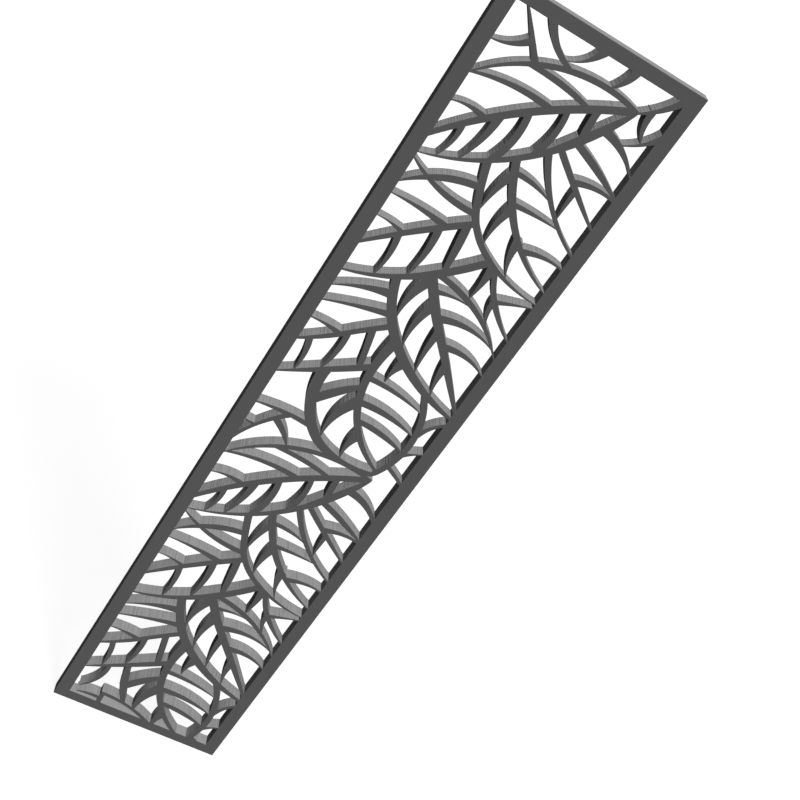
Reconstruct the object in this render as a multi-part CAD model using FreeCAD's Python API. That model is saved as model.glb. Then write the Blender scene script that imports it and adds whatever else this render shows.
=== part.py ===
import FreeCAD, Part
import math
import os
from collections import namedtuple

# A tall openwork panel: a plain flat frame filled with overlapping leaves.
# Frame and leaves are flush, and every leaf is one fret-cut piece of the same board.
# X runs across the panel, Y through it with the front towards -Y, and Z up.
# The origin is the middle of the bottom edge. Sizes are in millimetres.

# Frame
PANEL_WIDTH = 400.0
PANEL_HEIGHT = 1860.0
BOARD_THICKNESS = 28.0
STILE_WIDTH = 29.0
RAIL_WIDTH = 25.0

# Loose tenons that join each rail to the stiles
CORNER_TENON_LENGTH = 40.0
CORNER_TENON_WIDTH = 10.0
CORNER_TENON_THICKNESS = 10.0
CORNER_TENON_CLEARANCE = 0.15

# Stub tenons where the broader bars run into the frame
STUB_LENGTH = 6.0           # beyond the opening
STUB_WIDTH = 5.0
STUB_THICKNESS = 10.0
STUB_CLEARANCE = 0.2

# Loose tongues that join a leaf to the rim of the leaf in front of it
TONGUE_LENGTH = 15.0
TONGUE_WIDTH = 5.0
TONGUE_THICKNESS = 8.0
TONGUE_CLEARANCE = 0.15

# Bars of the tracery
RIB_WIDTH = 14.5            # the great leaf's rib at its tip; the other bars keep their proportion to it

# The leaves are drawn on a sheet, and the drawing is stretched to fill the opening.
SHEET_LOW = (29.0, 25.0)        # lower left corner of the opening on the sheet
SHEET_HIGH = (371.0, 1835.0)    # upper right corner
SHEET_REPEAT = (3.0, -899.0)    # from the upper half to its copy in the lower half
SHEET_RIB = 14.5                # the great leaf's rib at its tip
SHEET_LEAST_STUB = 5.0          # bars that end narrower than this are glued without a stub

# Worked out from the sizes above
OPENING_WIDTH = PANEL_WIDTH - 2 * STILE_WIDTH
OPENING_HEIGHT = PANEL_HEIGHT - 2 * RAIL_WIDTH
ACROSS_SCALE = OPENING_WIDTH / (SHEET_HIGH[0] - SHEET_LOW[0])
UP_SCALE = OPENING_HEIGHT / (SHEET_HIGH[1] - SHEET_LOW[1])
BAR_SCALE = RIB_WIDTH / SHEET_RIB

# One bar of the tracery: the points its middle line passes through, its width at each of
# them, and whether a loose tongue joins its first end to the leaf that it starts from.
# Only its last end can have a stub tenon in the frame.
# The middle line is a chain of arcs through points 1 to 3, 3 to 5 and so on.
Bar = namedtuple("Bar", "points widths tongue")


def bar(*points, widths, tongue=False):
    return Bar(points, widths, tongue)


# Leaves of the repeat, as drawn in the upper half

def great_leaf():
    """The big leaf that grows out of the left stile, with its tip at the right."""
    rims = [bar((23, 1689), (153, 1776), (313, 1779), widths=(2.5, 11, 9)),
            bar((312, 1781), (290, 1741), (229, 1653), (120, 1566), (21, 1528),
                widths=(6, 15, 14, 8.5, 2))]
    rib = [bar((304, 1778), (162, 1694), (24, 1565), widths=(14.5, 15, 10.5))]
    upper_veins = [bar((227, 1746), (172, 1755), (112, 1757), widths=(9.5, 11.5, 10)),
                   bar((175, 1711), (108, 1712), (23, 1694), widths=(12.5, 10.5, 4.5)),
                   bar((94, 1639), (63, 1644), (21, 1635), widths=(14, 7.5, 2))]
    lower_veins = [bar((253, 1746), (254, 1721), (258, 1694), widths=(13.5, 14, 16)),
                   bar((209, 1722), (213, 1687), (205, 1635), widths=(11, 12, 12.5)),
                   bar((155, 1685), (159, 1652), (147, 1588), widths=(13, 14, 14)),
                   bar((115, 1653), (113, 1618), (94, 1554), widths=(17.5, 12.5, 3)),
                   bar((69, 1609), (70, 1584), (58, 1541), widths=(12, 9, 2))]
    return rims + rib + upper_veins + lower_veins


def long_leaf():
    """The leaf that hangs from under the great leaf and runs to the right stile."""
    rims = [bar((141, 1578), (151, 1548), (166, 1508), (197, 1457), (245, 1420), (312, 1394),
                (378, 1385), widths=(16.5, 15.5, 14.5, 13, 11.5, 6.5, 2), tongue=True),
            bar((223, 1645), (269, 1580), (375, 1499), widths=(14, 10.5, 5), tongue=True)]
    rib = [bar((183, 1606), (259, 1488), (376, 1411), widths=(15.5, 13, 2), tongue=True)]
    right_veins = [bar((195, 1584), (227, 1583), (271, 1571), widths=(11, 9.5, 3)),
                   bar((225, 1532), (265, 1534), (316, 1532), widths=(11.5, 8, 3)),
                   bar((288, 1462), (324, 1472), (374, 1469), widths=(14, 9, 4.5))]
    left_veins = [bar((193, 1576), (184, 1547), (178, 1495), widths=(15.5, 12, 3.5)),
                  bar((228, 1522), (220, 1489), (221, 1441), widths=(17.5, 12, 2)),
                  bar((273, 1477), (276, 1445), (293, 1403), widths=(21.5, 12, 2))]
    return rims + rib + right_veins + left_veins


def left_leaf():
    """The leaf at the left stile below the crossed veins."""
    rib = [bar((187, 1465), (112, 1406), (21, 1324), widths=(14, 13, 6), tongue=True)]
    rim = [bar((252, 1416), (217, 1378), (180, 1345), (105, 1295), (21, 1265),
               widths=(16, 16.5, 16.5, 10.5, 4), tongue=True)]
    upper_veins = [bar((142, 1435), (92, 1441), (21, 1441), widths=(14, 9, 2)),
                   bar((87, 1384), (58, 1391), (21, 1391), widths=(11, 5, 2))]
    lower_veins = [bar((179, 1452), (185, 1408), (190, 1353), widths=(15.5, 15.5, 8)),
                   bar((138, 1424), (142, 1375), (135, 1316), widths=(15, 12, 3.5)),
                   bar((81, 1379), (87, 1341), (82, 1286), widths=(14, 10.5, 3))]
    return rib + rim + upper_veins + lower_veins


def broad_leaf():
    """The broad leaf that crosses the middle down to the right stile."""
    rims = [bar((181, 1347), (263, 1327), (374, 1242), widths=(12.5, 12, 2)),
            bar((123, 1304), (153, 1234), (202, 1176), (284, 1121), (377, 1089),
                widths=(17.5, 19, 20, 16.5, 7), tongue=True)]
    rib = [bar((173, 1346), (205, 1299), (241, 1255), (309, 1179), (376, 1102),
               widths=(19.5, 19.5, 18, 14.5, 6.5), tongue=True)]
    right_veins = [bar((199, 1314), (225, 1320), (267, 1320), widths=(12.5, 7.5, 3)),
                   bar((236, 1269), (288, 1279), (360, 1260), widths=(17.5, 11, 2)),
                   bar((273, 1221), (312, 1225), (373, 1202), widths=(16, 11.5, 2))]
    left_veins = [bar((180, 1331), (165, 1290), (165, 1230), widths=(24.5, 16.5, 2)),
                  bar((211, 1281), (202, 1244), (207, 1182), widths=(18, 13.5, 2)),
                  bar((250, 1243), (249, 1207), (257, 1143), widths=(17, 12, 2)),
                  bar((301, 1189), (301, 1156), (311, 1111), widths=(20.5, 11, 2)),
                  bar((229, 1153), (221, 1127), (219, 1098), widths=(26.5, 11, 2))]
    return rims + rib + right_veins + left_veins


def round_leaf(left_rim):
    """The round leaf at the foot of the repeat, with three short twigs to the right stile."""
    stem = [bar((193, 1188), (185, 1137), (186, 1085), (226, 981), (311, 907),
                widths=(23, 19, 16.5, 14, 6.5), tongue=True)]
    right_rim = [bar((298, 1113), (336, 1010), (312, 902), widths=(13, 14, 12.5), tongue=True)]
    right_veins = [bar((187, 1090), (249, 1087), (316, 1071), widths=(13, 9.5, 2)),
                   bar((199, 1033), (264, 1033), (332, 1015), widths=(15.5, 12.5, 2)),
                   bar((221, 994), (269, 990), (329, 973), widths=(11.5, 13, 5))]
    left_veins = [bar((184, 1063), (152, 1032), (121, 995), widths=(12, 19, 20)),
                  bar((194, 1026), (175, 981), (175, 921), widths=(25.5, 16, 2)),
                  bar((240, 965), (230, 932), (233, 896), widths=(21.5, 11.5, 2))]
    twigs = [bar((340, 1030), (354, 1054), (377, 1075), widths=(11.5, 8.5, 8)),
             bar((338, 969), (353, 979), (377, 992), widths=(11.5, 5.5, 3.5)),
             bar((324, 930), (347, 918), (376, 901), widths=(10, 9, 7))]
    return stem + right_rim + [left_rim] + right_veins + left_veins + twigs


def upper_round_rim():
    return bar((108, 1065), (121, 981), (173, 914), (238, 891), (308, 896),
               widths=(23.5, 23, 20, 15.5, 11.5))


def lower_round_rim():
    return bar((109, 1066), (125, 996), (145, 950), widths=(11, 17, 8.5))


def side_leaf():
    """The leaf at the left stile beside the round leaf's stem."""
    rib = [bar((169, 1210), (133, 1181), (98, 1150), (61, 1120), (21, 1094),
               widths=(13.5, 12, 11.5, 9.5, 5), tongue=True)]
    rim = [bar((178, 1112), (115, 1069), (22, 1011), widths=(15, 13, 3), tongue=True)]
    upper_vein = [bar((92, 1146), (62, 1151), (21, 1150), widths=(13, 7, 3))]
    lower_veins = [bar((141, 1186), (151, 1145), (160, 1099), widths=(15, 13, 12.5)),
                   bar((106, 1152), (107, 1115), (98, 1063), widths=(12.5, 11, 3)),
                   bar((48, 1111), (56, 1078), (55, 1032), widths=(14, 10.5, 2))]
    return rib + rim + upper_vein + lower_veins


def right_branch():
    """The branch from under the great leaf to the right stile."""
    return [bar((256, 1683), (307, 1663), (374, 1630), widths=(13.5, 13.5, 4), tongue=True),
            bar((239, 1659), (301, 1612), (375, 1559), widths=(12.5, 11, 4), tongue=True),
            bar((373, 1627), (321, 1629), (293, 1621), widths=(6, 10.5, 13.5)),
            bar((305, 1607), (304, 1584), (306, 1549), widths=(10, 8.5, 2))]


def small_leaf():
    """The small leaf between the long leaf and the broad one, at the right stile."""
    return [bar((270, 1408), (288, 1372), (314, 1340), (343, 1313), (375, 1289),
                widths=(10.5, 11.5, 11.5, 7.5, 2.5), tongue=True),
            bar((263, 1404), (263, 1372), (259, 1331), widths=(19.5, 11, 2)),
            bar((306, 1352), (333, 1363), (376, 1377), widths=(11, 7, 2)),
            bar((303, 1349), (304, 1329), (315, 1303), widths=(12, 10, 3))]


def crossed_veins():
    """Two veins that cross beside the left stile."""
    return [bar((179, 1482), (95, 1490), (18, 1525), widths=(13, 10.5, 2), tongue=True),
            bar((155, 1529), (83, 1507), (23, 1462), widths=(14, 12.5, 2), tongue=True)]


def high_vein():
    """A single vein from the broad leaf's rim to the left stile."""
    return [bar((133, 1268), (85, 1256), (23, 1226), widths=(20.5, 11, 2), tongue=True)]


def low_vein():
    """The single vein below it."""
    return [bar((153, 1230), (93, 1215), (21, 1191), widths=(15, 9, 3), tongue=True)]


# Pieces that are drawn only once

def upper_right_twig():
    return [bar((285, 1726), (334, 1708), (375, 1673), widths=(18, 11, 2), tongue=True)]


def lower_right_twig():
    return [bar((291, 836), (338, 821), (376, 787), widths=(18.5, 14, 7.5), tongue=True)]


def corner_leaf():
    """The leaf at the left stile between the two halves."""
    return [bar((136, 936), (88, 938), (21, 931), widths=(12, 9.5, 3.5), tongue=True),
            bar((19, 817), (51, 882), (99, 937), widths=(9, 8, 12.5)),
            bar((52, 882), (38, 884), (20, 885), widths=(9, 5, 3)),
            bar((80, 916), (105, 897), (129, 869), widths=(15, 12, 3))]


def top_left_sprig():
    return [bar((113, 1763), (83, 1799), (45, 1844), widths=(13, 9, 2)),
            bar((89, 1790), (62, 1770), (21, 1760), widths=(14.5, 8, 2))]


def top_right_sprig():
    return [bar((370, 1839), (341, 1802), (309, 1778), widths=(15, 9, 4)),
            bar((334, 1796), (334, 1772), (349, 1738), widths=(12.5, 11.5, 2))]


def top_rim():
    """The lower rim of a leaf that the top rail cuts off."""
    return [bar((169, 1784), (120, 1812), (97, 1843), widths=(8, 13.5, 16.5))]


def top_left_vein():
    return [bar((155, 1792), (191, 1816), (205, 1843), widths=(2, 8.5, 19.5))]


def top_right_vein():
    return [bar((244, 1790), (262, 1813), (271, 1844), widths=(2, 11, 15.5))]


def right_corner_vein():
    return [bar((322, 1719), (353, 1739), (379, 1769), widths=(3, 7, 16))]


def bottom_left_sprig():
    return [bar((97, 55), (153, 49), (226, 18), widths=(10, 9, 10)),
            bar((98, 59), (98, 41), (99, 20), widths=(10, 10, 10)),
            bar((96, 38), (69, 38), (41, 33), widths=(9, 8, 2))]


def bottom_crescent():
    return [bar((74, 147), (72, 105), (40, 52), widths=(10.5, 9.5, 2), tongue=True)]


def in_lower_half(bars):
    """The same bars in the lower half of the panel."""
    across, up = SHEET_REPEAT
    return [Bar([(x + across, y + up) for x, y in b.points], b.widths, b.tongue) for b in bars]


def tracery():
    """Every piece of the tracery and its bars, from the foremost leaf to the hindmost."""
    fore = [("great_leaf", great_leaf), ("long_leaf", long_leaf), ("left_leaf", left_leaf),
            ("broad_leaf", broad_leaf)]
    hind = [("side_leaf", side_leaf), ("right_branch", right_branch), ("small_leaf", small_leaf),
            ("crossed_veins", crossed_veins), ("high_vein", high_vein), ("low_vein", low_vein)]
    singles = [upper_right_twig, lower_right_twig, corner_leaf, top_left_sprig, top_right_sprig, top_rim,
               top_left_vein, top_right_vein, right_corner_vein, bottom_crescent]
    pieces = []
    for name, draw in fore:
        pieces += [("upper_" + name, draw()), ("lower_" + name, in_lower_half(draw()))]
    pieces += [("bottom_left_sprig", bottom_left_sprig()),
               ("upper_round_leaf", round_leaf(upper_round_rim())),
               ("lower_round_leaf", in_lower_half(round_leaf(lower_round_rim())))]
    for name, draw in hind:
        pieces += [("upper_" + name, draw()), ("lower_" + name, in_lower_half(draw()))]
    return pieces + [(draw.__name__, draw()) for draw in singles]


# Flat outlines in the middle plane of the panel

def on_panel(point):
    """A point of the sheet, in the middle plane of the panel."""
    across = (point[0] - SHEET_LOW[0]) * ACROSS_SCALE - OPENING_WIDTH / 2
    up = (point[1] - SHEET_LOW[1]) * UP_SCALE + RAIL_WIDTH
    return FreeCAD.Vector(across, 0, up)


def real_width(drawn):
    return drawn * BAR_SCALE


def arcs_through(points):
    """A chain of arcs, each through three of the points."""
    return [Part.Arc(*points[i:i + 3]) for i in range(0, len(points) - 2, 2)]


def middle_line(one_bar):
    return arcs_through([on_panel(p) for p in one_bar.points])


def ways_along(points):
    """The direction of a chain of arcs at each of its points."""
    ways = [FreeCAD.Vector() for p in points]
    for number, arc in enumerate(arcs_through(points)):
        for i in range(2 * number, 2 * number + 3):
            ways[i] = ways[i] + arc.tangent(arc.parameter(points[i]))[0]
    return [way.normalize() for way in ways]


def bar_face(one_bar):
    """The outline of one bar."""
    points = [on_panel(p) for p in one_bar.points]
    halves = [real_width(w) / 2 for w in one_bar.widths]
    offsets = [FreeCAD.Vector(-way.z, 0, way.x) * half for way, half in zip(ways_along(points), halves)]
    one_side = [p + o for p, o in zip(points, offsets)]
    other_side = [p - o for p, o in zip(points, offsets)]
    sides = [arc.toShape() for arc in arcs_through(one_side) + arcs_through(other_side)]
    ends = [Part.makeLine(one_side[i], other_side[i]) for i in (0, -1)]
    return Part.Face(Part.Wire(Part.__sortEdges__(sides + ends)))


def joined(faces):
    """Overlapping outlines as one."""
    if len(faces) == 1:
        return faces[0]
    return faces[0].multiFuse(faces[1:]).removeSplitter()


def rectangle(left, right, bottom, top):
    places = ((left, bottom), (right, bottom), (right, top), (left, top))
    corners = [FreeCAD.Vector(x, 0, z) for x, z in places]
    return Part.Face(Part.makePolygon(corners + corners[:1]))


def opening():
    """The outline of the space inside the frame."""
    return rectangle(-OPENING_WIDTH / 2, OPENING_WIDTH / 2, RAIL_WIDTH, PANEL_HEIGHT - RAIL_WIDTH)


def board(face, thickness):
    """A flat outline given a thickness, half to each side of the middle plane."""
    return face.translated(FreeCAD.Vector(0, -thickness / 2, 0)).extrude(FreeCAD.Vector(0, thickness, 0))


def near(one, other):
    """Whether two shapes may touch, by their bounding boxes."""
    a = one.BoundBox
    b = other.BoundBox
    return a.XMin < b.XMax and b.XMin < a.XMax and a.ZMin < b.ZMax and b.ZMin < a.ZMax


def is_on(face, point):
    return face.distToShape(Part.Vertex(point))[0] < STUB_CLEARANCE


# Joints

def block(point, way, length, thickness, width, grow):
    """A block centred on a point and turned to a direction in the panel, made bigger all round by grow."""
    size = [s + 2 * grow for s in (length, thickness, width)]
    straight = Part.makeBox(*size, FreeCAD.Vector(*size) * -0.5)
    straight.rotate(FreeCAD.Vector(), FreeCAD.Vector(0, -1, 0), math.degrees(math.atan2(way.z, way.x)))
    return straight.translated(point)


def seam(one_bar, in_front):
    """Where a bar comes out from behind the leaf that it starts from, and its direction there."""
    first = middle_line(one_bar)[0]
    start = on_panel(one_bar.points[0])
    showing = first.toShape().cut(in_front)
    point = min((v.Point for v in showing.Vertexes), key=start.distanceToPoint)
    return point, first.tangent(first.parameter(point))[0]


def tongue(place, grow=0.0):
    """The loose tongue across a seam, or with grow the slot for it."""
    return block(*place, TONGUE_LENGTH, TONGUE_THICKNESS, TONGUE_WIDTH, grow)


def stub_places(one_bar):
    """Where the last end of a broad bar runs out of the opening, and its direction there."""
    if one_bar.widths[-1] < SHEET_LEAST_STUB:
        return []
    first, end = on_panel(one_bar.points[0]), on_panel(one_bar.points[-1])
    last = middle_line(one_bar)[-1]
    crossings = [v.Point for v in last.toShape().section(opening().OuterWire).Vertexes]
    outward = [point for point in crossings if point.distanceToPoint(end) < point.distanceToPoint(first)]
    return [(point, last.tangent(last.parameter(point))[0]) for point in outward]


def stub(place, grow=0.0):
    """A stub tenon, as long inside the bar as in the frame, or with grow its mortise."""
    return block(*place, 2 * STUB_LENGTH, STUB_THICKNESS, STUB_WIDTH, grow)


def corner_tenons(grow=0.0):
    """A loose tenon across the seam in each corner, or with grow the mortises for them."""
    middles = [FreeCAD.Vector(side * OPENING_WIDTH / 2, 0, up)
               for up in (RAIL_WIDTH / 2, PANEL_HEIGHT - RAIL_WIDTH / 2)
               for side in (-1, 1)]
    sizes = (CORNER_TENON_LENGTH, CORNER_TENON_THICKNESS, CORNER_TENON_WIDTH)
    return [block(middle, FreeCAD.Vector(1, 0, 0), *sizes, grow) for middle in middles]


# Pieces

def cut_by(piece, tools):
    """A piece with the tools that reach it cut away."""
    reaching = [tool for tool in tools if near(tool, piece)]
    return piece.cut(reaching) if reaching else piece


def frame_pieces(mortises):
    """The stiles, which run the whole height, and the rails between them."""
    half = OPENING_WIDTH / 2
    outlines = {"left_stile": rectangle(-PANEL_WIDTH / 2, -half, 0, PANEL_HEIGHT),
                "right_stile": rectangle(half, PANEL_WIDTH / 2, 0, PANEL_HEIGHT),
                "bottom_rail": rectangle(-half, half, 0, RAIL_WIDTH),
                "top_rail": rectangle(-half, half, PANEL_HEIGHT - RAIL_WIDTH, PANEL_HEIGHT)}
    return {name: cut_by(board(outline, BOARD_THICKNESS), mortises) for name, outline in outlines.items()}


def shown_face(outline, in_front):
    """The largest part of an outline that the frame and the leaves in front of it leave bare."""
    shown = outline.common(opening())
    if in_front:
        shown = shown.cut(in_front)
    return max(shown.Faces, key=lambda f: f.Area)


def leaf_blank(shown, stubs):
    """A piece of tracery with its stubs, before the slots for the tongues are cut."""
    leaf = board(shown, BOARD_THICKNESS)
    return leaf.fuse([stub(place) for place in stubs]) if stubs else leaf


def leaf_pieces():
    """The tracery by name, with the places of its tongues and of its stubs."""
    outlines = {}
    blanks = {}
    seams = []
    stubs = []
    for name, bars in tracery():
        outline = joined([bar_face(b) for b in bars])
        in_front = [other for other in outlines.values() if near(other, outline)]
        shown = shown_face(outline, in_front)
        own_stubs = [place for b in bars for place in stub_places(b) if is_on(shown, place[0])]
        blanks[name] = leaf_blank(shown, own_stubs)
        seams += [seam(b, in_front) for b in bars if b.tongue]
        stubs += own_stubs
        outlines[name] = outline
    slots = [tongue(place, TONGUE_CLEARANCE) for place in seams]
    return {name: cut_by(blank, slots) for name, blank in blanks.items()}, seams, stubs


def panel():
    """Every piece of the panel by name."""
    pieces, seams, stubs = leaf_pieces()
    mortises = [stub(place, STUB_CLEARANCE) for place in stubs] + corner_tenons(CORNER_TENON_CLEARANCE)
    pieces.update(frame_pieces(mortises))
    pieces["leaf_tongues"] = Part.makeCompound([tongue(place) for place in seams])
    pieces["corner_tenons"] = Part.makeCompound(corner_tenons())
    return pieces


os.makedirs("parts", exist_ok=True)
for node, shape in panel().items():
    shape.exportStep("parts/" + node + ".step")
    print(node, len(shape.Solids), "solid", round(shape.Volume), "mm3", "valid", shape.isValid())
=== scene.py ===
# %% [markdown]
# # A leaf lattice panel
# The real object is a tall, narrow board cut through to a net of overlapping leaves inside a plain
# border, and painted dark grey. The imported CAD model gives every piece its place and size. This lesson
# dresses it: softened edges, paint, and a plain studio.

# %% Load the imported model
import math
import bmesh
import bpy
import numpy as np
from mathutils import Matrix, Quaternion, Vector
from mathutils.geometry import delaunay_2d_cdt


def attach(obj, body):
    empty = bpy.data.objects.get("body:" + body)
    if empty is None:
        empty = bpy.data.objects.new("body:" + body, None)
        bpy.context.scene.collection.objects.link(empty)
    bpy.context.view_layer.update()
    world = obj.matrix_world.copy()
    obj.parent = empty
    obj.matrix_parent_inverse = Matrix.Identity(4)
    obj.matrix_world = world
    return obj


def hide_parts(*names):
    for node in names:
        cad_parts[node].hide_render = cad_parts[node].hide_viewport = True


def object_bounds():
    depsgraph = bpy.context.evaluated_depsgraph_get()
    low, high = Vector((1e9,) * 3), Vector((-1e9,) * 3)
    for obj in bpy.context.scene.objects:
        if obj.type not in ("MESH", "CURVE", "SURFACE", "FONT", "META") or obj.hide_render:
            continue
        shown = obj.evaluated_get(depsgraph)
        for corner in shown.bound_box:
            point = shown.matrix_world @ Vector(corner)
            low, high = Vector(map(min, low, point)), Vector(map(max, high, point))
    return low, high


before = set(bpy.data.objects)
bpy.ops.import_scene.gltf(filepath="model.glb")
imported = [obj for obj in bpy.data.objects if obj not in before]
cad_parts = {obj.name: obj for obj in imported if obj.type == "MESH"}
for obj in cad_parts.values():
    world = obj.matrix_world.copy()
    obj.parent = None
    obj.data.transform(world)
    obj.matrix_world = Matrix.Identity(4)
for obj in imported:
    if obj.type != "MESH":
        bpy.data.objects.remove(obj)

cad_low, cad_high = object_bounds()
print("CAD box in metres:", tuple(cad_low), tuple(cad_high))

# %% [markdown]
# ## Which pieces get a new skin
# Stiles, rails and leaves show, so each gets a new mesh with softened edges. The loose tongues and
# tenons sit inside the joints. They keep their CAD shape and only need a finish.

# %% Sort the pieces
MM = 0.001
HIDDEN_PIECES = ("leaf_tongues", "corner_tenons")
FRAME_PIECES = ("left_stile", "right_stile", "top_rail", "bottom_rail")
painted_names = [name for name in sorted(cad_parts) if name not in HIDDEN_PIECES]
print(len(painted_names), "painted pieces,", len(HIDDEN_PIECES), "hidden groups")

# %% [markdown]
# ## The outline of each piece
# Every piece is a flat board sawn to an outline, so its back face holds the whole plan. A bevel modifier
# on the CAD mesh would pinch at the thin bar ends and mark every joint, so the plan is read instead and
# the skin is built from it. Faces of a mesh that came from CAD don't share points, so they are welded
# first. An edge with only one back face beside it belongs to the outline.

# %% Read the outlines
TOUCH = 0.01
BACK = cad_high.y / MM
FRONT = cad_low.y / MM


def outline_edges(name):
    """Outline edges of a piece in plan (x, z), in millimetres, with the wood on their left."""
    skin = bmesh.new()
    skin.from_mesh(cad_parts[name].data)
    bmesh.ops.remove_doubles(skin, verts=skin.verts, dist=TOUCH * MM / 100)
    back_faces = {face for face in skin.faces if all(v.co.y / MM > BACK - TOUCH for v in face.verts)}
    found = []
    for face in back_faces:
        for corner in face.loops:
            if not any(other in back_faces for other in corner.edge.link_faces if other is not face):
                start, end = corner.link_loop_next.vert.co, corner.vert.co
                found.append(((start.x / MM, start.z / MM), (end.x / MM, end.z / MM)))
    skin.free()
    return sorted(found)


outlines = {name: outline_edges(name) for name in painted_names}
print(sum(len(edges) for edges in outlines.values()), "outline edges")

# %% [markdown]
# ## One set of points for all the pieces
# Where a bar ends on the rim of another leaf, both outlines follow the same curve, but with different
# points. If each outline takes over the other's points, the two match exactly, and the joint can be
# found by looking for an edge that runs both ways.

# %% Share the points
WELD = 0.06
SEAM_REACH = 0.25
places = []
near_places = {}


def point_number(place):
    """The number of a plan point, the same for all points closer than WELD."""
    column, row = round(place[0] / WELD), round(place[1] / WELD)
    for i in (-1, 0, 1):
        for j in (-1, 0, 1):
            for number in near_places.get((column + i, row + j), ()):
                if math.dist(places[number], place) < WELD:
                    return number
    places.append(place)
    near_places.setdefault((column, row), []).append(len(places) - 1)
    return len(places) - 1


plan_edges = []
edges_at = {}
for name, edges in outlines.items():
    for start, end in edges:
        edge = (name, point_number(start), point_number(end))
        if edge[1] != edge[2]:
            plan_edges.append(edge)
            edges_at.setdefault(edge[1], []).append(edge)
            edges_at.setdefault(edge[2], []).append(edge)
spots = np.array(places)
print(len(places), "plan points")

# %% Split the edges where another piece touches
ALONGSIDE = 0.9


def touches(name, n, along):
    """Whether point n is only in other pieces, and one of their edges there runs back along a direction."""
    if any(other == name for other, a, b in edges_at[n]):
        return False
    ways = [spots[b] - spots[a] for other, a, b in edges_at[n]]
    return any(way @ along < -ALONGSIDE * np.hypot(*way) * np.hypot(*along) for way in ways)


def stops_on(name, first, last):
    """Points of other pieces that lie on an edge, in order along it."""
    along = spots[last] - spots[first]
    length = np.hypot(*along)
    steps = (spots - spots[first]) @ along / length
    aside = np.abs((spots - spots[first]) @ np.array((-along[1], along[0])) / length)
    near = np.flatnonzero((aside < SEAM_REACH) & (steps > WELD) & (steps < length - WELD))
    return sorted((n for n in near if touches(name, n, along)), key=lambda n: steps[n])


owner = {}
for name, first, last in plan_edges:
    chain = [first, *(int(n) for n in stops_on(name, first, last)), last]
    for pair in zip(chain, chain[1:]):
        owner[pair] = name
seams = [(a, b) for a, b in owner if (b, a) in owner and a < b]
open_edges = [(a, b) for a, b in owner if (b, a) not in owner]
print(len(seams), "edges in joints,", len(open_edges), "edges to the open")

# %% [markdown]
# ## The openings
# Chained end to end, the edges to the open run once round every opening and once round the panel. A
# softened edge follows these loops and takes no notice of the joints, just as on the painted panel.

# %% Chain the loops
after = {}
for a, b in open_edges:
    after.setdefault(a, []).append(b)
in_joint = {n for pair in seams for n in pair}


def turn_from(back_way, way):
    """Angle from one direction round to another, left about, in 0 to 360 degrees."""
    angle = math.atan2(way[1], way[0]) - math.atan2(back_way[1], back_way[0])
    return angle % (2 * math.pi)


def next_point(before, here):
    """The open edge that goes on round the same opening."""
    back_way = spots[before] - spots[here]
    ways = after[here]
    return min(ways, key=lambda n: turn_from(back_way, spots[n] - spots[here]))


loops = []
unused = set(open_edges)
while unused:
    first, second = min(unused)
    loop = [first]
    before, here = first, second
    unused.discard((first, second))
    while here != first or len(loop) < 3:
        loop.append(here)
        before, here = here, next_point(before, here)
        unused.discard((before, here))
        if len(loop) > len(open_edges):
            raise RuntimeError("an opening doesn't close")
    loops.append(loop)
print(len(loops), "loops, the longest of", max(len(loop) for loop in loops), "points")

# %% [markdown]
# ## Clean feet for the veins
# Where a vein meets a rib at a slant, a corner of its square end can stand beside the rib with a notch
# behind it. A maker fills such a notch and trims it to a clean foot. So where an edge turns a sharp corner
# into a notch, it runs straight on instead until it meets the other bar. A notch can lie to either side of
# a vein, so every loop is walked both ways. At the round leaf's tip two bar ends face each other across a
# narrow gap, which is closed in the same way, and so is any pinhole.

# %% Find a square end
SHORT_EDGE = 0.6
END_LENGTH = 16
RUN_ON = 12
SHARP_TURN = math.radians(32)


def bend_at(line, i):
    """How far a closed line turns at its point i, in radians, to the left positive."""
    arrive = spots[line[i]] - spots[line[i - 1]]
    leave = spots[line[(i + 1) % len(line)]] - spots[line[i]]
    return math.atan2(arrive[0] * leave[1] - arrive[1] * leave[0], arrive @ leave)


def reach_to(start, way, first, last):
    """How far it is from a point along a direction to an edge, or None if that misses it."""
    span, gap = last - first, first - start
    cross = way[0] * span[1] - way[1] * span[0]
    if abs(cross) < 1e-9:
        return None
    reach = (gap[0] * span[1] - gap[1] * span[0]) / cross
    share = (gap[0] * way[1] - gap[1] * way[0]) / cross
    return reach if 0 <= share <= 1 and SHORT_EDGE < reach < RUN_ON else None


def square_end(line, outward):
    """If a line starts in the corner of a square end, the number of edges to skip and the new point."""
    if outward * bend_at(line, 0) < SHARP_TURN or abs(bend_at(line, -1)) > SHARP_TURN:
        return None
    way = spots[line[0]] - spots[line[-1]]
    way = way / np.hypot(*way)
    walked, in_notch = 0.0, False
    for k in range(1, len(line) - 2):
        here, there = spots[line[k - 1]], spots[line[k]]
        reach = reach_to(spots[line[0]], way, here, there) if in_notch else None
        if reach:
            return k, spots[line[0]] + reach * way
        walked += np.hypot(*(there - here))
        turn = outward * bend_at(line, k)
        in_notch = in_notch or turn < -SHARP_TURN
        if turn > SHARP_TURN or walked > END_LENGTH + RUN_ON * in_notch:
            break
    return None


# %% Run the square ends on
spots = list(spots)


def with_foot(line, outward, skipped, place):
    """The line run on from its first point to a new place, past the edges that it skips."""
    def edge(a, b):
        return (a, b) if outward > 0 else (b, a)

    new = len(spots)
    spots.append(place)
    last, met = line[skipped - 1], line[skipped]
    name, other = owner[edge(line[-1], line[0])], owner[edge(last, met)]
    owner[edge(last, new)] = owner[edge(new, met)] = other
    for a, b in zip(line[:skipped], line[1:skipped] + [new]):
        if owner[edge(a, b)] != name:
            owner[edge(b, a)] = name
            seams.append((min(a, b), max(a, b)))
            in_joint.update((a, b))
    owner[edge(line[0], new)] = name
    return [line[0], new] + line[skipped:]


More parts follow.
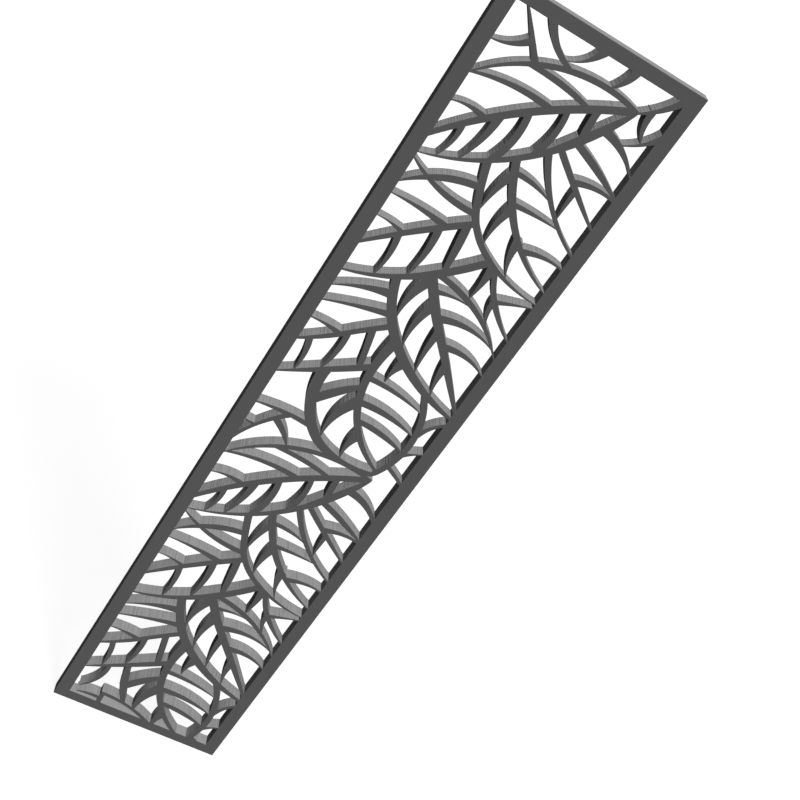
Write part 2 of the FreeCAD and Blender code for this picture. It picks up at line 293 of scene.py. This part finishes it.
def run_on(line, outward):
    """The line with its square ends run on. Its wood is on the left if outward is 1, else on the right."""
    for _ in range(len(line)):
        end = square_end(line, outward)
        if end:
            line = with_foot(line, outward, *end)
        line = line[1:] + line[:1]
    return line


points_before = len(spots)
loops = [run_on(run_on(loop, 1)[::-1], -1)[::-1] for loop in loops]
print(len(spots) - points_before, "square ends run on")

# %% Close the round leaf's tip
FACING_GAP = 4
PINHOLE_ROUND = 5


def with_ends_joined(loop):
    """The loop, or the two that it becomes where two bar ends face each other across a narrow gap."""
    corners = [bend_at(loop, i) > SHARP_TURN for i in range(len(loop))]
    ends = [i for i in range(len(loop) - 1) if corners[i] and corners[i + 1]]
    for i in ends:
        for k in ends:
            if k > i + 1 and math.dist(spots[loop[i + 1]], spots[loop[k]]) < FACING_GAP:
                owner[loop[i], loop[k + 1]] = owner[loop[i], loop[i + 1]]
                owner[loop[k], loop[i + 1]] = owner[loop[k], loop[k + 1]]
                print("joined two ends of", owner[loop[i], loop[i + 1]])
                return [loop[i + 1:k + 1], loop[:i + 1] + loop[k + 1:]]
    return [loop]


def length_round(loop):
    """The length of a loop in millimetres."""
    return sum(math.dist(spots[a], spots[b]) for a, b in zip(loop, loop[1:] + loop[:1]))


loops = [part for loop in loops for part in with_ends_joined(loop)]
pinholes = [loop for loop in loops if length_round(loop) < PINHOLE_ROUND]
loops = [loop for loop in loops if loop not in pinholes]
spots = np.array(spots)
print(len(loops), "loops kept,", len(pinholes), "pinholes filled")

# %% [markdown]
# ## How far the edges are softened
# The edges look sharp in the photograph. Paint still needs a slight rounding to hold on to, so the front
# edges get half a millimetre. On a bar tip that is narrower than two such roundings, the rounding has to
# shrink. A ray across the wood from every point of a loop gives the width there.

# %% Drop points that crowd
def without_crowding(loop):
    """The loop without points closer than SHORT_EDGE, where no joint holds them."""
    loop = list(loop)
    i = 0
    while i < len(loop):
        here, there = loop[i], loop[(i + 1) % len(loop)]
        free = [n for n in (here, there) if n not in in_joint]
        if free and len(loop) > 4 and np.hypot(*(spots[there] - spots[here])) < SHORT_EDGE:
            loop.remove(min(free, key=lambda n: abs(bend_at(loop, loop.index(n)))))
            i = max(i - 2, 0)
        else:
            i += 1
    return loop


thin_loops = [without_crowding(loop) for loop in loops]
print(sum(map(len, loops)), "loop points, thinned to", sum(map(len, thin_loops)))

# %% Measure the wood behind each point
EDGE_ROUNDING = 0.5
SHARE_OF_WIDTH = 0.42
RAYS_AT_ONCE = 200
starts = spots[[n for loop in thin_loops for n in loop]]
ends = spots[[n for loop in thin_loops for n in loop[1:] + loop[:1]]]
earlier = spots[[n for loop in thin_loops for n in loop[-1:] + loop[:-1]]]


def unit(ways):
    """Directions of length 1."""
    return ways / np.linalg.norm(ways, axis=-1, keepdims=True)


def left_of(ways):
    """Directions a quarter turn to the left, which is into the wood."""
    return np.stack((-ways[..., 1], ways[..., 0]), axis=-1)


into_before = left_of(unit(starts - earlier))
into_after = left_of(unit(ends - starts))
inward = unit(into_before + into_after + 1e-9)
widths = np.empty(len(starts))
spans = ends - starts
for low in range(0, len(starts), RAYS_AT_ONCE):
    ray_from = starts[low:low + RAYS_AT_ONCE, None]
    ray_way = inward[low:low + RAYS_AT_ONCE, None]
    gap = starts[None] - ray_from
    cross = ray_way[..., 0] * spans[None, :, 1] - ray_way[..., 1] * spans[None, :, 0]
    cross = np.where(np.abs(cross) < 1e-12, 1e-12, cross)
    reach = (gap[..., 0] * spans[None, :, 1] - gap[..., 1] * spans[None, :, 0]) / cross
    share = (gap[..., 0] * ray_way[..., 1] - gap[..., 1] * ray_way[..., 0]) / cross
    hit = (reach > TOUCH) & (share >= 0) & (share <= 1)
    widths[low:low + RAYS_AT_ONCE] = np.where(hit, reach, 1e3).min(axis=1)
roundings = np.minimum(EDGE_ROUNDING, SHARE_OF_WIDTH * widths)
print("rounding from", round(roundings.min(), 2), "to", round(roundings.max(), 2), "mm")

# %% [markdown]
# ## Rings round every opening
# A rounding is a quarter circle, here in two steps. Seen in plan, each step is a loop a little further
# into the wood. At an outer corner the two sides of a ring meet in a mitre. At an inner corner, such as
# the foot of a vein, the ring goes round the corner in a small arc, as a rounding-over cutter would.

# %% Draw the rings
STEPS = 2
ROUND_STEP = math.radians(30)
MITRE_LIMIT = 2.5
plan = [tuple(place) for place in spots]
drop = [None] * len(plan)
back_drop = [0.0] * len(plan)
ring_edges = []


def ring_spots(i, inset):
    """Plan points of one ring at loop point i."""
    one, two = into_before[i], into_after[i]
    turn = math.atan2(one[0] * two[1] - one[1] * two[0], one @ two)
    if turn < -ROUND_STEP:
        count = math.ceil(-turn / ROUND_STEP)
        angles = [math.atan2(one[1], one[0]) + turn * k / count for k in range(count + 1)]
        return [starts[i] + inset * np.array((math.cos(a), math.sin(a))) for a in angles]
    stretch = min(1 / max(math.cos(turn / 2), 1e-6), MITRE_LIMIT)
    return [starts[i] + inset * stretch * inward[i]]


i = 0
for loop in thin_loops:
    for k in range(1, STEPS + 1):
        angle = math.pi / 2 * k / STEPS
        ring = []
        for j in range(len(loop)):
            rounding = roundings[i + j]
            for place in ring_spots(i + j, rounding * (1 - math.cos(angle))):
                ring.append(len(plan))
                plan.append(tuple(place))
                drop.append(rounding * (1 - math.sin(angle)))
                back_drop.append(0.0)
        ring_edges += zip(ring, ring[1:] + ring[:1])
    for j, number in enumerate(loop):
        drop[number] = roundings[i + j]
        back_drop[number] = roundings[i + j] * (1 - math.cos(math.pi / 2 / STEPS))
    i += len(loop)
print(len(ring_edges), "ring edges")

# %% [markdown]
# ## One triangle net for the whole front
# A constrained Delaunay triangulation fills the plan with triangles that keep every loop, ring and joint
# as an edge. Made once for the whole panel, it gives both sides of a joint the same points, so no crack
# can open between two pieces.

# %% Fill the plan with triangles
loop_edges = []
loop_owners = []
for loop, thin in zip(loops, thin_loops):
    following = dict(zip(loop, loop[1:] + loop[:1]))
    loop_edges += zip(thin, thin[1:] + thin[:1])
    loop_owners += [owner[n, following[n]] for n in thin]
used = sorted({n for pair in loop_edges + seams + ring_edges for n in pair})
renumber = {n: k for k, n in enumerate(used)}
net_edges = [(renumber[a], renumber[b]) for a, b in loop_edges + seams + ring_edges]
net = delaunay_2d_cdt([Vector(plan[n]) for n in used], net_edges, [], 0, 1e-5, True)
net_spots = np.array([tuple(place) for place in net[0]])
triangles = [tuple(face) for face in net[2]]
print(len(net_spots), "net points,", len(triangles), "triangles")

# %% [markdown]
# ## Height of the front
# A point on a ring has that ring's height. A point where a joint crosses the rounding lies between two
# rings, so its height comes from its distance to the nearest open edge.

# %% Set the heights
def height_below(place):
    """How far the rounded front lies below the flat at a plan point."""
    run = np.sum(spans ** 2, axis=1)
    share = np.clip(np.sum((place - starts) * spans, axis=1) / run, 0, 1)
    away = np.linalg.norm(starts + share[:, None] * spans - place, axis=1)
    nearest = int(np.argmin(away))
    rounding = roundings[nearest]
    left = max(1 - away[nearest] / rounding, 0)
    return rounding * (1 - math.sqrt(1 - left ** 2))


net_drop = np.zeros(len(net_spots))
net_back = np.zeros(len(net_spots))
for k, sources in enumerate(net[3]):
    known = [used[n] for n in sources if drop[used[n]] is not None]
    net_drop[k] = drop[known[0]] if known else height_below(net_spots[k])
    net_back[k] = back_drop[known[0]] if known else 0.0
print("front lowered by up to", round(net_drop.max(), 2), "mm")

# %% [markdown]
# ## Hand the triangles out
# Every loop and joint edge knows the piece on its left. Starting from there, a piece's name spreads from
# triangle to triangle and stops at the next loop or joint. What no name reaches is an opening.

# %% Spread the piece names
fence = {}
known_edges = [(*pair, name) for pair, name in zip(loop_edges, loop_owners)]
known_edges += [(a, b, owner[a, b]) for a, b in seams]
for (a, b), sources in zip(net[1], net[4]):
    for source in sources:
        if source < len(known_edges):
            first, last, name = known_edges[source]
            same_way = (net_spots[b] - net_spots[a]) @ (np.array(plan[last]) - np.array(plan[first])) > 0
            fence[(a, b) if same_way else (b, a)] = name
            fence.setdefault((b, a) if same_way else (a, b), owner.get((last, first)))

beside = {}
for k, (a, b, c) in enumerate(triangles):
    for pair in ((a, b), (b, c), (c, a)):
        beside[pair] = k
piece_of = {}
queue = [(k, fence[pair]) for pair, k in sorted(beside.items()) if fence.get(pair)]
while queue:
    k, name = queue.pop()
    if k in piece_of:
        continue
    piece_of[k] = name
    a, b, c = triangles[k]
    for pair in ((a, b), (b, c), (c, a)):
        other = beside.get((pair[1], pair[0]))
        if pair not in fence and other is not None and other not in piece_of:
            queue.append((other, name))
print(len(piece_of), "triangles in", len(set(piece_of.values())), "pieces")

# %% [markdown]
# ## Dark grey paint
# The real finish is an even paint with hardly any shine. Sprayed paint is never quite flat, so a slow
# noise shifts its grey and gloss a little, and a fine noise gives the skin a slight grain.

# %% Helpers for materials
def new_material(name):
    """A node material and its shader."""
    material = bpy.data.materials.new(name)
    material.use_nodes = True
    return material, material.node_tree.nodes["Principled BSDF"]


def add_node(material, kind, **inputs):
    """A node with some of its inputs set."""
    node = material.node_tree.nodes.new(kind)
    for key, value in inputs.items():
        node.inputs[key].default_value = value
    return node


def link(material, source, target):
    material.node_tree.links.new(source, target)


def noise(material, scale, detail, stretch=(1, 1, 1)):
    """A noise in object space, scale in repeats per metre."""
    place = add_node(material, "ShaderNodeTexCoord")
    mapping = add_node(material, "ShaderNodeMapping", Scale=stretch)
    texture = add_node(material, "ShaderNodeTexNoise", Scale=scale, Detail=detail)
    link(material, place.outputs["Object"], mapping.inputs["Vector"])
    link(material, mapping.outputs["Vector"], texture.inputs["Vector"])
    return texture.outputs["Fac"]


def ramp(material, source, low, high, dark, light):
    """A colour between two colours, as the source goes from low to high."""
    node = add_node(material, "ShaderNodeValToRGB")
    node.color_ramp.elements[0].position = low
    node.color_ramp.elements[1].position = high
    node.color_ramp.elements[0].color = (*dark, 1)
    node.color_ramp.elements[1].color = (*light, 1)
    link(material, source, node.inputs["Fac"])
    return node.outputs["Color"]


def value_range(material, source, low, high, out_low, out_high):
    """The source remapped from one range to another."""
    node = add_node(material, "ShaderNodeMapRange")
    for key, value in (("From Min", low), ("From Max", high), ("To Min", out_low), ("To Max", out_high)):
        node.inputs[key].default_value = value
    link(material, source, node.inputs["Value"])
    return node.outputs["Result"]


def bump(material, source, strength, distance):
    """A bump from a height."""
    node = add_node(material, "ShaderNodeBump", Strength=strength, Distance=distance)
    link(material, source, node.inputs["Height"])
    return node.outputs["Normal"]


# %% Paint on the faces
face_paint, shader = new_material("grey_paint_on_faces")
slow = noise(face_paint, 14, 3)
grain = noise(face_paint, 1500, 2)
link(face_paint, ramp(face_paint, slow, 0.35, 0.65, (0.087, 0.087, 0.088), (0.09, 0.09, 0.091)),
     shader.inputs["Base Color"])
link(face_paint, value_range(face_paint, slow, 0.3, 0.7, 0.75, 0.82), shader.inputs["Roughness"])
shader.inputs["Specular IOR Level"].default_value = 0.05
link(face_paint, bump(face_paint, grain, 0.15, 0.0002), shader.inputs["Normal"])
print("made", face_paint.name)

# %% [markdown]
# ## Paint on the walls
# The walls take a paler grey than the faces, though the real panel has one even paint: this is painted
# light that adds to the light from above. Those of the leaves were cut by hand along the curves, and fine
# marks of the cutter run from front to back. A noise that is stretched along the thickness tilts the
# surface a little from mark to mark, and paints the low part of each mark darker as painted shade. The
# frame was planed straight and has no marks.

# %% Paint on the walls
def paint_walls_with_painted_light(name, mark_depth, painted_shade_grey):
    """The paint on the walls of a piece, paler as painted light, with cutter marks of a depth in metres and
    a painted shade grey.
    """
    paint, shader = new_material(name)
    slow = noise(paint, 14, 3)
    marks = noise(paint, 420, 2, (1, 0.01, 1))
    # Painted light: the wall grey of 0.17 is paler than the faces' paint, and the darker grey in the low
    # part of each mark is painted shade.
    link(paint, ramp(paint, marks, 0.36, 0.52, painted_shade_grey, (0.17, 0.17, 0.171)), shader.inputs["Base Color"])
    link(paint, value_range(paint, slow, 0.3, 0.7, 0.85, 0.95), shader.inputs["Roughness"])
    shader.inputs["Specular IOR Level"].default_value = 0
    link(paint, bump(paint, marks, 1.0, mark_depth), shader.inputs["Normal"])
    print("made", name)
    return paint


# Both wall paints are paler than the faces as painted light, with painted shade in their marks.
leaf_walls_with_painted_light = paint_walls_with_painted_light("grey_paint_on_leaf_walls", 0.0015, (0.13, 0.13, 0.131))
frame_walls_with_painted_light = paint_walls_with_painted_light("grey_paint_on_frame_walls", 0.00005, (0.165, 0.165, 0.166))

# %% [markdown]
# ## Bare beech
# The tongues and tenons are plain planed beech: warm, with a straight grain and short dark flecks.

# %% Beech for the hidden joints
beech, shader = new_material("bare_beech")
grain = noise(beech, 160, 5, (1, 1, 0.08))
link(beech, ramp(beech, grain, 0.3, 0.7, (0.47, 0.31, 0.18), (0.6, 0.43, 0.27)),
     shader.inputs["Base Color"])
link(beech, value_range(beech, grain, 0.3, 0.7, 0.55, 0.7), shader.inputs["Roughness"])
link(beech, bump(beech, grain, 0.2, 0.0002), shader.inputs["Normal"])
for name in HIDDEN_PIECES:
    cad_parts[name].data.materials.clear()
    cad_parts[name].data.materials.append(beech)
print("beech on", HIDDEN_PIECES)

# %% [markdown]
# ## Build the pieces
# Each piece is its triangles at the front, the same triangles flat at the back, and walls between them
# along every edge that has a triangle on one side only. The back edges get only a slight arris. The walls
# are shaded smooth and the rest flat, because a smooth rounding would make the flat front look bent.

# %% Build one piece
SMOOTH_BELOW = math.radians(38)


def build_piece(name, members):
    """The skin of one piece as a closed mesh."""
    corners = sorted({n for k in members for n in triangles[k]})
    place = {n: k for k, n in enumerate(corners)}
    count = len(corners)
    points = [(*net_spots[n], FRONT + net_drop[n]) for n in corners]
    points += [(*net_spots[n], BACK - net_back[n]) for n in corners]
    faces = []
    own_edges = set()
    for k in members:
        a, b, c = (place[n] for n in triangles[k])
        faces += [(a, b, c), (c + count, b + count, a + count)]
        own_edges |= {(a, b), (b, c), (c, a)}
    flat_faces = len(faces)
    rim = [(a, b) for a, b in sorted(own_edges) if (b, a) not in own_edges]
    faces += [(b, a, a + count, b + count) for a, b in rim]
    mesh = bpy.data.meshes.new("painted_" + name)
    mesh.from_pydata([(x * MM, y * MM, z * MM) for x, z, y in points], [], faces)
    mesh.materials.append(face_paint)
    mesh.materials.append(frame_walls_with_painted_light if name in FRAME_PIECES else leaf_walls_with_painted_light)
    mesh.polygons.foreach_set("material_index", [0] * flat_faces + [1] * len(rim))
    mesh.set_sharp_from_angle(angle=SMOOTH_BELOW)
    mesh.polygons.foreach_set("use_smooth", [False] * flat_faces + [True] * len(rim))
    return bpy.data.objects.new("painted_" + name, mesh)


# %% Build them all
members_of = {name: [] for name in painted_names}
for k, name in sorted(piece_of.items()):
    members_of[name].append(k)
pieces = []
for name in painted_names:
    piece = build_piece(name, members_of[name])
    bpy.context.scene.collection.objects.link(piece)
    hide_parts(name)
    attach(piece, "root")
    pieces.append(piece)
print(len(pieces), "pieces,", sum(len(piece.data.polygons) for piece in pieces), "faces")

# %% [markdown]
# ## The floor
# A plain pale floor carries the panel's faint shadow. To all other light it is an ordinary floor. The
# camera sees it with a glow added, so that it comes out white where the lamp reaches it.

# %% Lay the floor
FLOOR_SIZE = 40
FLOOR_GLOW = 0.9
bpy.ops.mesh.primitive_plane_add(size=FLOOR_SIZE)
floor = bpy.context.object
floor.name = "floor"
floor_finish, shader = new_material("pale_floor")
shader.inputs["Base Color"].default_value = (0.8, 0.8, 0.8, 1)
shader.inputs["Roughness"].default_value = 0.9
shader.inputs["Emission Color"].default_value = (1, 1, 1, 1)


def seen_directly(tree):
    """1 for rays from the camera, off a mirror or through glass, and 0 for light off matt surfaces."""
    path = tree.nodes.new("ShaderNodeLightPath")
    result = path.outputs["Is Camera Ray"]
    for other in ("Is Glossy Ray", "Is Transmission Ray"):
        larger = tree.nodes.new("ShaderNodeMath")
        larger.operation = "MAXIMUM"
        tree.links.new(result, larger.inputs[0])
        tree.links.new(path.outputs[other], larger.inputs[1])
        result = larger.outputs[0]
    return result


glow = value_range(floor_finish, seen_directly(floor_finish.node_tree), 0, 1, 0, FLOOR_GLOW)
link(floor_finish, glow, shader.inputs["Emission Strength"])
floor.data.materials.append(floor_finish)
print("floor of", FLOOR_SIZE, "metres")

# %% [markdown]
# ## The light
# In the photograph the walls that face up are bright right through the board, those that face left are
# nearly black, and no bar throws a shadow on another. So the overhead lamp casts no shadow, and, like a
# studio lamp with a flag under it, it lights the panel and not the floor. A weak lamp from the front
# lights both and casts the shadow on the floor. A level lamp behind the panel lights its back, which the
# photograph doesn't show, and adds nothing to what the camera sees.

# %% Hang the lamps
LAMP_DISTANCE = 3


def hang_lamp(name, way, strength, spread):
    """A distant lamp that shines from a direction and looks so many degrees wide."""
    data = bpy.data.lights.new(name, "SUN")
    data.energy = strength
    data.angle = math.radians(spread)
    lamp = bpy.data.objects.new(name, data)
    lamp.location = LAMP_DISTANCE * way
    lamp.rotation_mode = "QUATERNION"
    lamp.rotation_quaternion = way.to_track_quat("Z", "Y")
    bpy.context.scene.collection.objects.link(lamp)
    print(name, "from", tuple(way))
    return lamp


overhead = hang_lamp("overhead_lamp", Vector((-0.025, -0.43, 1.0)), strength=5.9, spread=4)
overhead.data.use_shadow = False
overhead.light_linking.receiver_collection = bpy.data.collections.new("lit_from_above")
for piece in pieces:
    overhead.light_linking.receiver_collection.objects.link(piece)
hang_lamp("front_lamp", Vector((0.4, -1.0, 1.2)), strength=0.5, spread=20)
hang_lamp("back_lamp", Vector((0.3, 1.0, 0.0)), strength=2.7, spread=4)

# %% Colour the sky
SKY_LEVEL = 0.03
sky = bpy.data.worlds.new("pale_sky")
bpy.context.scene.world = sky
sky.use_nodes = True
nodes = sky.node_tree.nodes
dim = nodes["Background"]
dim.inputs["Color"].default_value = (1, 1, 1, 1)
dim.inputs["Strength"].default_value = SKY_LEVEL
white = nodes.new("ShaderNodeBackground")
white.inputs["Color"].default_value = (1, 1, 1, 1)
mixed = nodes.new("ShaderNodeMixShader")
sky.node_tree.links.new(seen_directly(sky.node_tree), mixed.inputs["Fac"])
sky.node_tree.links.new(dim.outputs[0], mixed.inputs[1])
sky.node_tree.links.new(white.outputs[0], mixed.inputs[2])
sky.node_tree.links.new(mixed.outputs[0], nodes["World Output"].inputs["Surface"])
bpy.context.scene.view_settings.view_transform = "Standard"
print("sky level", SKY_LEVEL)

# %% [markdown]
# ## The camera
# The photograph looks down on the panel from its upper left, with the camera rolled so far that the panel
# runs from the lower left of the picture to the upper right. The place, aim, roll and lens come from the
# vanishing points of the panel's straight edges.

# %% Set the camera
CAMERA_PLACE = Vector((-0.64135, -2.1321, 2.2515))
CAMERA_WAY = Vector((0.28055, 0.83954, -0.46527))
CAMERA_ROLL = math.radians(35.67)
SENSOR = 36
FOCAL_SHARE = 1305.28 / 800
HALF_PIXEL = 0.5 / 800
camera_data = bpy.data.cameras.new("camera")
camera_data.sensor_width = SENSOR
camera_data.lens = SENSOR * FOCAL_SHARE
camera_data.shift_x = -HALF_PIXEL
camera_data.shift_y = HALF_PIXEL
camera = bpy.data.objects.new("camera", camera_data)
camera.location = CAMERA_PLACE
camera.rotation_mode = "QUATERNION"
camera.rotation_quaternion = CAMERA_WAY.to_track_quat("-Z", "Y") @ Quaternion((0, 0, 1), CAMERA_ROLL)
bpy.context.scene.collection.objects.link(camera)
bpy.context.scene.camera = camera
print("lens", round(camera_data.lens, 2), "mm")

# %% [markdown]
# ## The sizes
# The skin must not be bigger than the CAD model. This cell only brings the scene up to date.

# %% Bring the scene up to date
bpy.context.view_layer.update()
